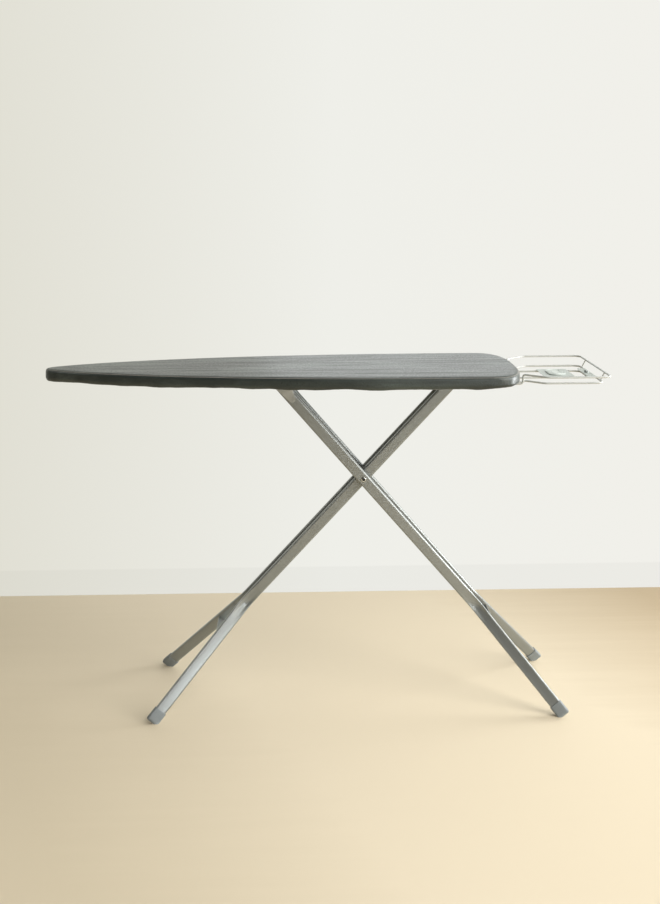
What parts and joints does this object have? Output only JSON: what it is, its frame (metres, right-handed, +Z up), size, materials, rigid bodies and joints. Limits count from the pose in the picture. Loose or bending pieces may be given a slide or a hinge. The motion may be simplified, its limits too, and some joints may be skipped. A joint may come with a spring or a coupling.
{
  "type": "ironing board",
  "caption": "Free-standing folding ironing board on a steel scissor frame, padded and cloth covered, with a wire iron rest at its square end.",
  "frame": {"origin": "on the floor, under the middle of the overall length and width", "axes": "+X along the board towards the iron rest, +Y across it towards the back, +Z up; the user stands at -Y"},
  "size_m": [1.435, 0.389, 0.92],
  "materials": {
    "cover": "satin woven cotton, blue-grey",
    "felt": "needled felt",
    "deck_steel": "satin grey powder coat",
    "leg_steel": "silver lacquer, satin",
    "zinc": "zinc plated, satin",
    "cap_plastic": "matt grey",
    "lock_plastic": "matt grey",
    "wire": "white powder coat, semi-gloss",
    "plate": "pale grey-green powder coat",
    "silicone": "pale silicone, matt",
    "buffer_rubber": "dark rubber, matt"
  },
  "bodies": {
    "board": {"clamp_screw_back": "zinc", "clamp_screw_front": "zinc", "clamp_screw_middle": "zinc", "clamp_strap_back": "zinc", "clamp_strap_front": "zinc", "clamp_strap_middle": "zinc", "cover_fabric": "cover", "crossbar_nose": "deck_steel", "crossbar_tail": "deck_steel", "deck_panel": "deck_steel", "felt_pad": "felt", "leg_axle": "zinc", "lock_rod": "zinc", "rail_back": "zinc", "rail_front": "zinc", "rest_buffer_1": "buffer_rubber", "rest_buffer_2": "buffer_rubber", "rest_end_strip": "plate", "rest_heat_pad": "silicone", "rest_inner_wire": "wire", "rest_lower_wire": "wire", "rest_plate": "plate", "rest_post_back": "wire", "rest_post_front": "wire", "rest_upper_rail": "wire", "rim_frame": "deck_steel", "rod_bracket_nose": "zinc", "rod_bracket_tail": "zinc", "stay_back_1": "deck_steel", "stay_back_2": "deck_steel", "stay_front_1": "deck_steel", "stay_front_2": "deck_steel"},
    "leg_b": {"leg_b_ear_back": "zinc", "leg_b_ear_front": "zinc", "leg_b_foot_back": "cap_plastic", "leg_b_foot_front": "cap_plastic", "leg_b_tie": "leg_steel", "leg_b_tube_back": "leg_steel", "leg_b_tube_front": "leg_steel", "pivot_bolt": "zinc", "pivot_nut": "zinc", "pivot_spacer": "zinc", "pivot_washer_back": "lock_plastic", "pivot_washer_front": "lock_plastic"},
    "leg_a": {"leg_a_ear_back": "zinc", "leg_a_ear_front": "zinc", "leg_a_foot_back": "cap_plastic", "leg_a_foot_front": "cap_plastic", "leg_a_tie": "leg_steel", "leg_a_tube_back": "leg_steel", "leg_a_tube_front": "leg_steel"},
    "carriage": {"slide_bar": "zinc", "slide_shoe_front": "lock_plastic", "slide_shoe_back": "lock_plastic", "lock_housing": "lock_plastic", "lock_spring": "zinc"},
    "lever": {"lock_lever": "zinc", "lock_grip": "lock_plastic"}
  },
  "joints": [
    {"name": "fold", "type": "hinge", "parent": "board", "child": "leg_b", "pos_m": [0.32037, 0, 0.8887], "axis": [0, 1, 0], "range_deg": [0, 47.6]},
    {"name": "scissor", "type": "hinge", "parent": "leg_b", "child": "leg_a", "pos_m": [0.10551, 0, 0.623], "axis": [0, 1, 0], "range_deg": [-97.1, 0]},
    {"name": "carriage", "type": "hinge", "parent": "leg_a", "child": "carriage", "pos_m": [-0.09446, 0, 0.8887], "axis": [0, 1, 0], "range_deg": [0, 49.5]},
    {"name": "lock_release", "type": "hinge", "parent": "carriage", "child": "lever", "pos_m": [-0.07696, -0.0592, 0.8987], "axis": [0, 0, 1], "range_deg": [-7.5, 0], "stiffness_Nm_per_rad": 0.4, "springref_deg": 5.73}
  ],
  "couplings": [
    {"joint": "scissor", "follows": "fold", "ratio": -2.0399},
    {"joint": "carriage", "follows": "fold", "ratio": 1.0399}
  ]
}
